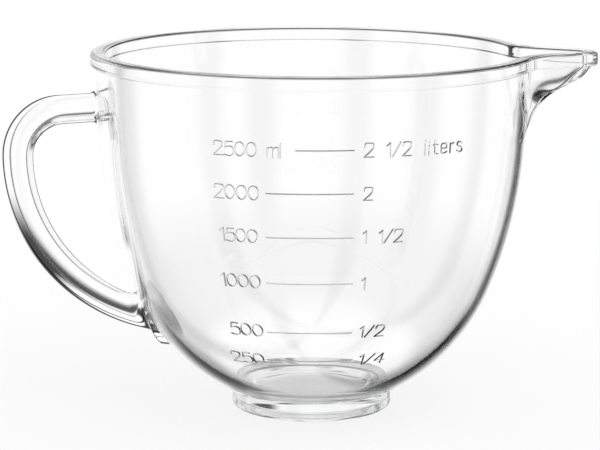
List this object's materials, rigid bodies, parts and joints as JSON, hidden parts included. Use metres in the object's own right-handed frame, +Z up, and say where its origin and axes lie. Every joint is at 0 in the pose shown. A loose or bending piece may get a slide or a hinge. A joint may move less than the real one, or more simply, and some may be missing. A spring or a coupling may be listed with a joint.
{
  "type": "stand mixer bowl",
  "caption": "Clear pressed-glass mixing bowl with a ring foot, rolled rim, pouring spout, solid loop handle and raised volume marks.",
  "frame": {"origin": "on the bowl's axis, at the underside of the ring foot", "axes": "+Z up along the bowl's axis; +X towards the spout, so the handle is at -X; the volume marks face -Y"},
  "size_m": [0.2754, 0.204, 0.167],
  "materials": {
    "pressed_glass": "clear, fire polished"
  },
  "bodies": {
    "root": {"glass_bowl": "pressed_glass"}
  },
  "joints": []
}
